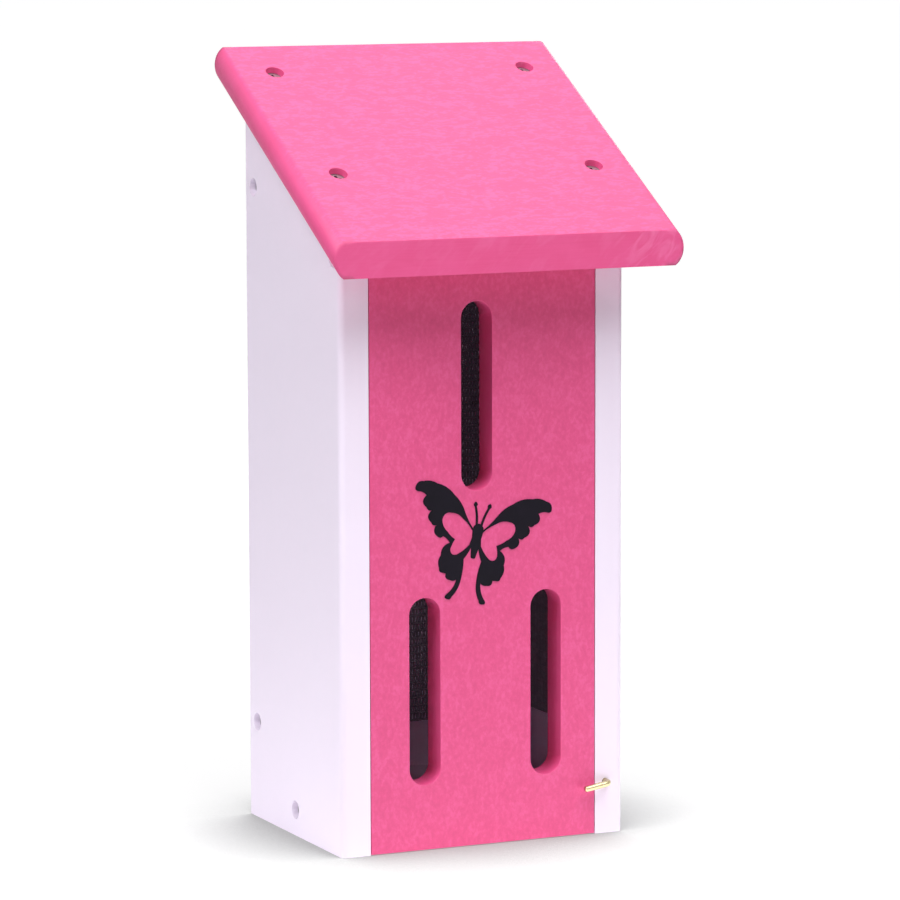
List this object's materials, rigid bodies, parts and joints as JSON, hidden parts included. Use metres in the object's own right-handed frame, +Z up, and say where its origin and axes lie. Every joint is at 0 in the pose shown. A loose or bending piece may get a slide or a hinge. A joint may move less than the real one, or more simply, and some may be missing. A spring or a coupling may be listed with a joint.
{
  "type": "butterfly house",
  "caption": "Tall, narrow board house with a sloped roof, upright round-ended slots and a butterfly on its hinged front door, netting inside and a turning latch hook.",
  "frame": {"origin": "on the ground, at the middle of the box that holds the closed house and its roof", "axes": "+X to the right seen from the front, +Y from the front door to the back panel, +Z up"},
  "size_m": [0.154, 0.1266, 0.3252],
  "materials": {
    "pink_board": "mottled recycled board",
    "white_board": "mottled recycled board",
    "black_film": "matte film",
    "black_net": "extruded netting",
    "staple_steel": "galvanised",
    "screw_steel": "plated",
    "hook_brass": "bright plated"
  },
  "bodies": {
    "house": {"roof_board": "pink_board", "left_side_panel": "white_board", "right_side_panel": "white_board", "back_panel": "white_board", "floor_board": "white_board", "back_netting": "black_net", "left_netting": "black_net", "right_netting": "black_net", "back_netting_staples": "staple_steel", "left_netting_staples": "staple_steel", "right_netting_staples": "staple_steel", "front_left_roof_screw": "screw_steel", "front_right_roof_screw": "screw_steel", "back_left_roof_screw": "screw_steel", "back_right_roof_screw": "screw_steel", "upper_left_back_screw": "screw_steel", "upper_right_back_screw": "screw_steel", "lower_left_back_screw": "screw_steel", "lower_right_back_screw": "screw_steel", "left_floor_screw": "screw_steel", "right_floor_screw": "screw_steel"},
    "door": {"front_door": "pink_board", "butterfly_emblem": "black_film", "left_pivot_screw": "screw_steel", "right_pivot_screw": "screw_steel"},
    "latch": {"latch_hook": "hook_brass"}
  },
  "joints": [
    {"name": "door_swing", "type": "hinge", "parent": "house", "child": "door", "pos_m": [0, -0.0292, 0.2441], "axis": [-1, 0, 0], "range_deg": [0, 68]},
    {"name": "latch_turn", "type": "hinge", "parent": "house", "child": "latch", "pos_m": [0.0555, -0.03555, 0.0218], "axis": [0, 1, 0], "range_deg": [-81, 99]}
  ]
}
